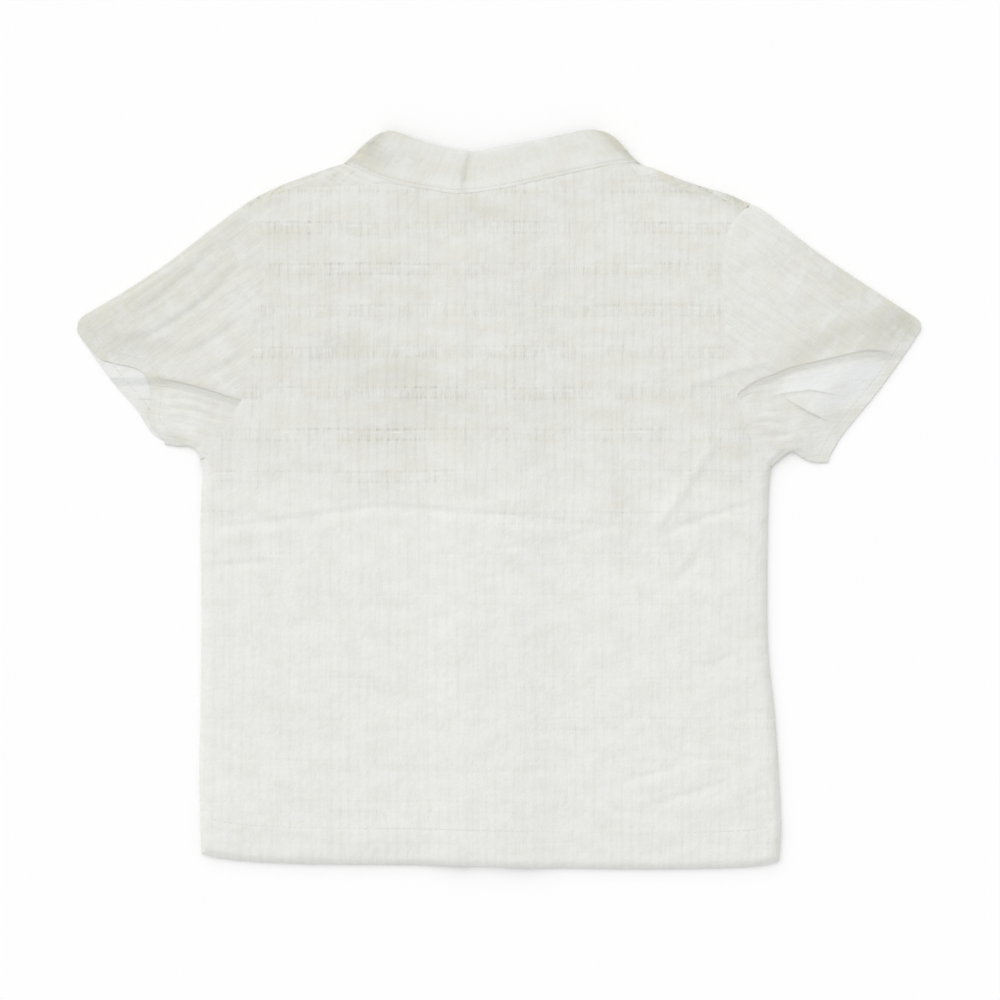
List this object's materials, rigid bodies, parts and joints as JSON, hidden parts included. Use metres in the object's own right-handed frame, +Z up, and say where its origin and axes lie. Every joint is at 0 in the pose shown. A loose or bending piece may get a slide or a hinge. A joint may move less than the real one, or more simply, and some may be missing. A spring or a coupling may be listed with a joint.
{
  "type": "short-sleeve shirt",
  "caption": "Toddler's short-sleeve button-down shirt with a band collar, buttoned and laid flat, face down, with its back panel on top.",
  "frame": {"origin": "centre of the overall box of the laid-out shirt, on the surface it lies on", "axes": "+X across the shirt from the tip of its left sleeve to the tip of its right one, +Y from the hem to the collar, +Z up from the surface, out of the back panel"},
  "size_m": [0.424, 0.3703, 0.0072],
  "materials": {
    "cloth": "matte",
    "button": "satin"
  },
  "bodies": {
    "root": {"back": "cloth", "front_left": "cloth", "front_right": "cloth", "sleeve_left": "cloth", "sleeve_right": "cloth", "collar_band": "cloth", "buttonhole_band": "cloth", "button_band": "cloth", "collar_button": "button", "button_1": "button", "button_2": "button", "button_3": "button", "button_4": "button", "button_5": "button"}
  },
  "joints": []
}
